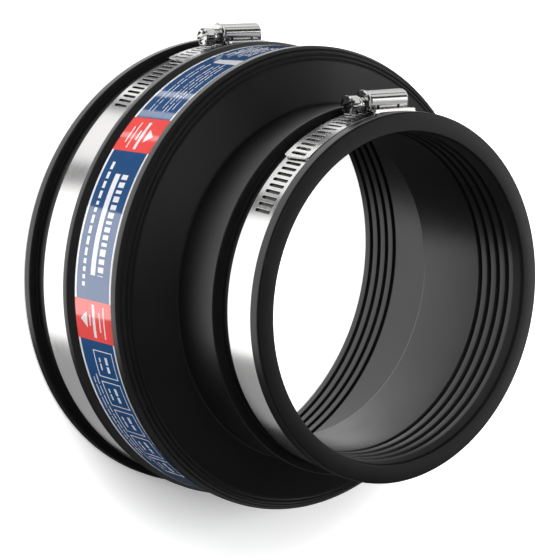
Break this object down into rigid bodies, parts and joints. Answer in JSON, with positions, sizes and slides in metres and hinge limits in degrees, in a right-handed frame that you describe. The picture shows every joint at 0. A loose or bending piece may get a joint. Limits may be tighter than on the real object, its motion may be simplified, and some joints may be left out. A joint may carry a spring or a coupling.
{
  "type": "adapter coupling",
  "caption": "Stepped rubber pipe coupling that joins a small pipe to a large one, clamped by a worm-drive band at each end.",
  "frame": {"origin": "in the middle of the part's base, level with the large end's face, on which the part stands; the sleeve's axis passes 3.45 mm behind it, at Y +0.00345, because the large clamp's cover stands out in front", "axes": "+Z along the sleeve's axis from the large end to the small end; the clamp screws lie on the -Y side, their heads towards +X"},
  "size_m": [0.187, 0.194, 0.12],
  "materials": {
    "rubber": "moulded EPDM, semi-matt",
    "printed_film": "printed film with blue, red and white fields",
    "band_steel": "stainless strip, brushed along its length",
    "screw_steel": "bright stainless"
  },
  "bodies": {
    "coupling": {"coupling_body": "rubber", "label_band": "printed_film", "large_clamp_band": "band_steel", "large_clamp_saddle": "band_steel", "large_clamp_housing": "band_steel", "small_clamp_band": "band_steel", "small_clamp_saddle": "band_steel", "small_clamp_housing": "band_steel"},
    "large_screw": {"large_clamp_screw": "screw_steel"},
    "small_screw": {"small_clamp_screw": "screw_steel"}
  },
  "joints": [
    {"name": "large_screw_turn", "type": "hinge", "parent": "coupling", "child": "large_screw", "pos_m": [0, -0.09155, 0.0185], "axis": [1, 0, 0], "continuous": true},
    {"name": "small_screw_turn", "type": "hinge", "parent": "coupling", "child": "small_screw", "pos_m": [0, -0.06955, 0.1073], "axis": [1, 0, 0], "continuous": true}
  ]
}
